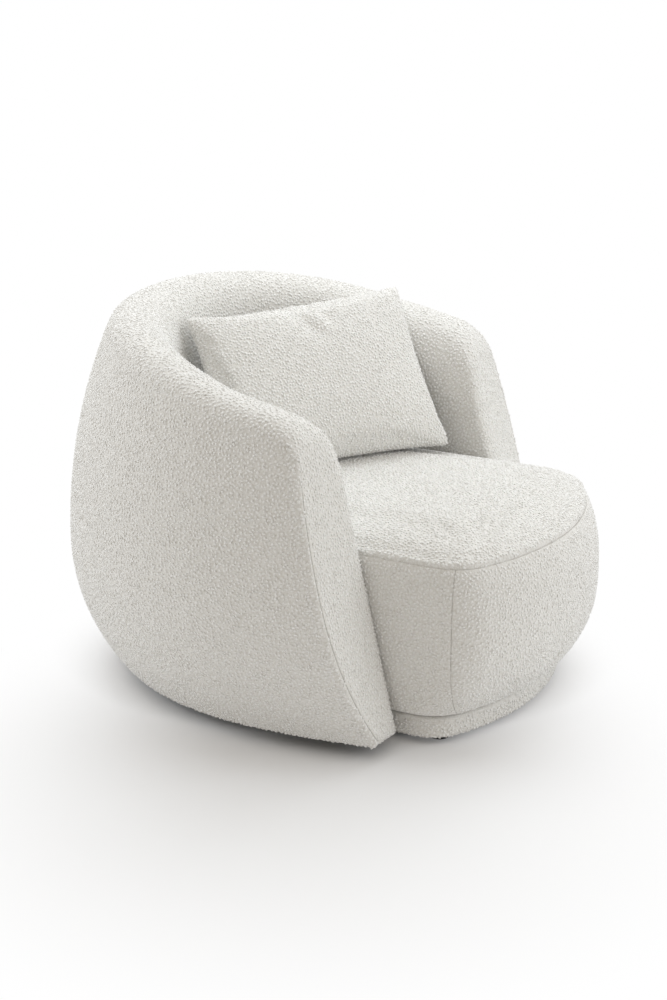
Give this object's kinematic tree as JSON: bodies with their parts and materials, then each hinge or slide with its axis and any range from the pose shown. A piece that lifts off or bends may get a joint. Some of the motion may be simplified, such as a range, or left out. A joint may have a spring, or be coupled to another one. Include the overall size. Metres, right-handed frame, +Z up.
{
  "type": "upholstered armchair",
  "caption": "Low rounded armchair: a barrel shell wraps back and arms round a drum seat on a recessed plinth, all in off-white looped cloth, with a loose scatter cushion.",
  "frame": {"origin": "on the floor under the middle of the chair's bounding box", "axes": "+Z up; the chair faces -Y, so -X is the sitter's right hand"},
  "size_m": [0.9806, 1.045, 0.7299],
  "materials": {
    "boucle_cloth": "looped wool boucle, off-white, matt and knobbly",
    "black_cloth": "thin black non-woven cloth",
    "foam": "cut polyurethane foam, pale cream",
    "wadding": "white polyester fibre",
    "plywood": "unfinished birch plywood",
    "timber": "planed beech",
    "webbing": "woven elastic strap",
    "steel": "zinc-plated, satin",
    "black_plastic": "moulded, matt black"
  },
  "bodies": {
    "chair": {"back_foam": "foam", "chassis_bars": "steel", "chassis_bolts": "steel", "chassis_washers": "steel", "feet": "black_plastic", "foot_screws": "steel", "left_arm_foam": "foam", "left_arm_front_cover": "boucle_cloth", "left_arm_front_pad": "foam", "left_seat_side_band": "boucle_cloth", "plinth_band": "boucle_cloth", "plinth_hoop": "plywood", "plinth_rails": "timber", "plinth_ring": "plywood", "rib_screws": "steel", "right_arm_foam": "foam", "right_arm_front_cover": "boucle_cloth", "right_arm_front_pad": "foam", "right_seat_side_band": "boucle_cloth", "rim_rail": "timber", "seat_foam": "foam", "seat_front_band": "boucle_cloth", "seat_hoop": "plywood", "seat_screws": "steel", "seat_side_pad": "foam", "seat_top_cover": "boucle_cloth", "seat_topper": "wadding", "seat_webbing": "webbing", "shell_base_board": "plywood", "shell_inner_cover": "boucle_cloth", "shell_outer_board": "plywood", "shell_outer_cover": "boucle_cloth", "shell_ribs": "plywood", "shell_underside_cloth": "black_cloth", "shell_wadding": "wadding", "shell_webbing": "webbing", "underside_cloth": "black_cloth"},
    "scatter_cushion": {"cushion_front_cover": "boucle_cloth", "cushion_back_cover": "boucle_cloth", "cushion_filling": "wadding"}
  },
  "joints": [
    {"name": "cushion_lift", "type": "slide", "parent": "chair", "child": "scatter_cushion", "axis": [0, 0, 1], "range_m": [0, 0.45]}
  ]
}
